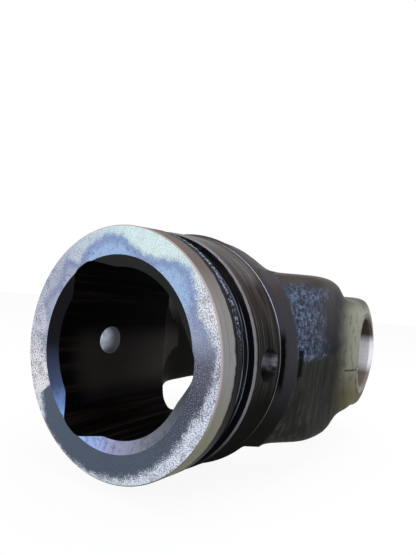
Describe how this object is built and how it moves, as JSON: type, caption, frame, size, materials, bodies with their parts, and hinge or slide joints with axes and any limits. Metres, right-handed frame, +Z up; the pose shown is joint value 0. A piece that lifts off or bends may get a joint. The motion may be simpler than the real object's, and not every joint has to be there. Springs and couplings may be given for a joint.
{
  "type": "forged yoke",
  "caption": "Forged driveline yoke: round hub with a lobed tube socket and cross pin hole, shield groove, and a fork whose bored ears hold a joint cross.",
  "frame": {"origin": "on the hub's axis at the mouth face, where the tube enters", "axes": "+Y along the hub from the mouth to the ears, X through both ears and the roll-pin hole with one socket lobe towards +X, +Z up, square to the forging's parting plane"},
  "size_m": [0.1024, 0.1278, 0.0804],
  "materials": {
    "forging": "oiled black forging scale, with bare turned steel at the mouth and in the bores"
  },
  "bodies": {
    "root": {"yoke": "forging"}
  },
  "joints": []
}
